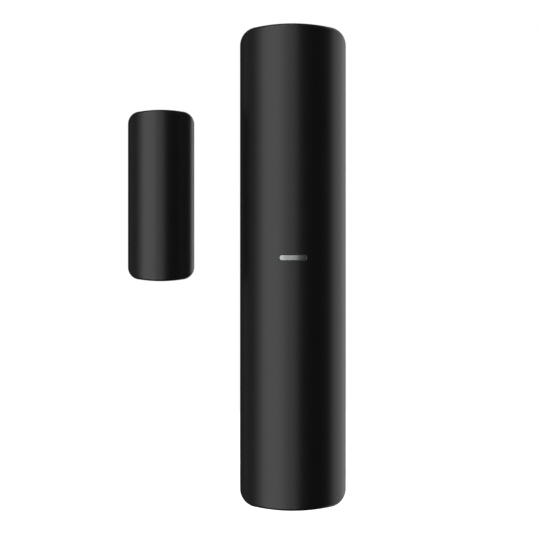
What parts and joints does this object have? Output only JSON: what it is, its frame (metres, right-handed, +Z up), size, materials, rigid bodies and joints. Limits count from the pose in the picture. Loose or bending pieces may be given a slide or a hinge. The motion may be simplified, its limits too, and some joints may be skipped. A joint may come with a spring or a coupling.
{
  "type": "door contact sensor",
  "caption": "Slim wireless door or window contact: half-round battery sensor on a wall bracket, with a smaller magnet piece beside it.",
  "frame": {"origin": "centre of the bracket's middle tape pad, on the face that sticks to the wall", "axes": "+Z up along the sensor's length, +Y into the wall, +X to the right as seen from the front; the magnet piece lies at -X"},
  "size_m": [0.0404, 0.0223, 0.09],
  "materials": {
    "black_plastic": "satin black moulding",
    "frosted_lens": "frosted light guide",
    "foam_tape": "grey foam tape",
    "circuit_board": "green solder mask",
    "white_plastic": "off-white moulding",
    "nickel": "nickel plate",
    "cell_steel": "drawn steel",
    "cell_sleeve": "blue shrink sleeve",
    "glass": "clear green glass",
    "chip_black": "black epoxy",
    "terminal_green": "green moulding",
    "copper": "bare copper wire",
    "label_paper": "blank label",
    "magnet_plating": "nickel plated magnet"
  },
  "bodies": {
    "bracket": {"wall_bracket": "black_plastic", "bracket_tape_upper": "foam_tape", "bracket_tape_middle": "foam_tape", "bracket_tape_lower": "foam_tape"},
    "chassis": {"back_cover": "black_plastic", "blank_label": "label_paper", "battery_holder": "white_plastic", "battery_can": "cell_steel", "battery_sleeve": "cell_sleeve", "battery_nub": "nickel", "battery_seal": "chip_black", "positive_contact": "nickel", "negative_contact": "nickel", "negative_spring": "nickel", "circuit_board": "circuit_board", "board_screw_lower": "nickel", "board_screw_upper": "nickel", "led_emitter": "white_plastic", "microcontroller": "chip_black", "crystal": "cell_steel", "radio_shield": "cell_steel", "capacitor": "cell_steel", "inductor": "chip_black", "antenna_coil": "copper", "reed_left_glass": "glass", "reed_left_lower_lead": "nickel", "reed_left_upper_lead": "nickel", "reed_right_glass": "glass", "reed_right_lower_lead": "nickel", "reed_right_upper_lead": "nickel", "terminal_block": "terminal_green", "terminal_clamp_a": "nickel", "terminal_clamp_b": "nickel", "tamper_switch_body": "chip_black", "tamper_spring": "nickel", "power_switch_body": "chip_black"},
    "shell": {"front_shell": "black_plastic", "light_guide": "frosted_lens"},
    "tamper_plunger": {"tamper_plunger": "white_plastic"},
    "power_button": {"power_button": "white_plastic"},
    "terminal_screw_a": {"terminal_screw_a": "nickel"},
    "terminal_screw_b": {"terminal_screw_b": "nickel"},
    "magnet_base": {"magnet_base": "black_plastic", "magnet_tape": "foam_tape"},
    "magnet_cover": {"magnet_housing": "black_plastic", "bar_magnet": "magnet_plating", "magnet_pad": "foam_tape"}
  },
  "joints": [
    {"name": "magnet_travel", "type": "slide", "parent": "bracket", "child": "magnet_base", "axis": [-1, 0, 0], "range_m": [0, 0.06]},
    {"name": "magnet_cover_pull", "type": "slide", "parent": "magnet_base", "child": "magnet_cover", "axis": [0, -1, 0], "range_m": [0, 0.018]},
    {"name": "sensor_lift", "type": "slide", "parent": "bracket", "child": "chassis", "axis": [0, 0, 1], "range_m": [0, 0.0032]},
    {"name": "shell_pull", "type": "slide", "parent": "chassis", "child": "shell", "axis": [0, -1, 0], "range_m": [0, 0.03]},
    {"name": "tamper_press", "type": "slide", "parent": "chassis", "child": "tamper_plunger", "axis": [0, -1, 0], "range_m": [0, 0.0008], "stiffness_N_per_m": 400, "springref_m": -0.001, "deforming": ["tamper_spring"]},
    {"name": "power_press", "type": "slide", "parent": "chassis", "child": "power_button", "axis": [0, -1, 0], "range_m": [0, 0.0003], "stiffness_N_per_m": 600, "springref_m": -0.001},
    {"name": "terminal_turn_a", "type": "hinge", "parent": "chassis", "child": "terminal_screw_a", "pos_m": [-0.00175, -0.0158, 0.03753], "axis": [0, -1, 0], "range_deg": [-720, 720]},
    {"name": "terminal_turn_b", "type": "hinge", "parent": "chassis", "child": "terminal_screw_b", "pos_m": [0.00175, -0.0158, 0.03753], "axis": [0, -1, 0], "range_deg": [-720, 720]}
  ]
}
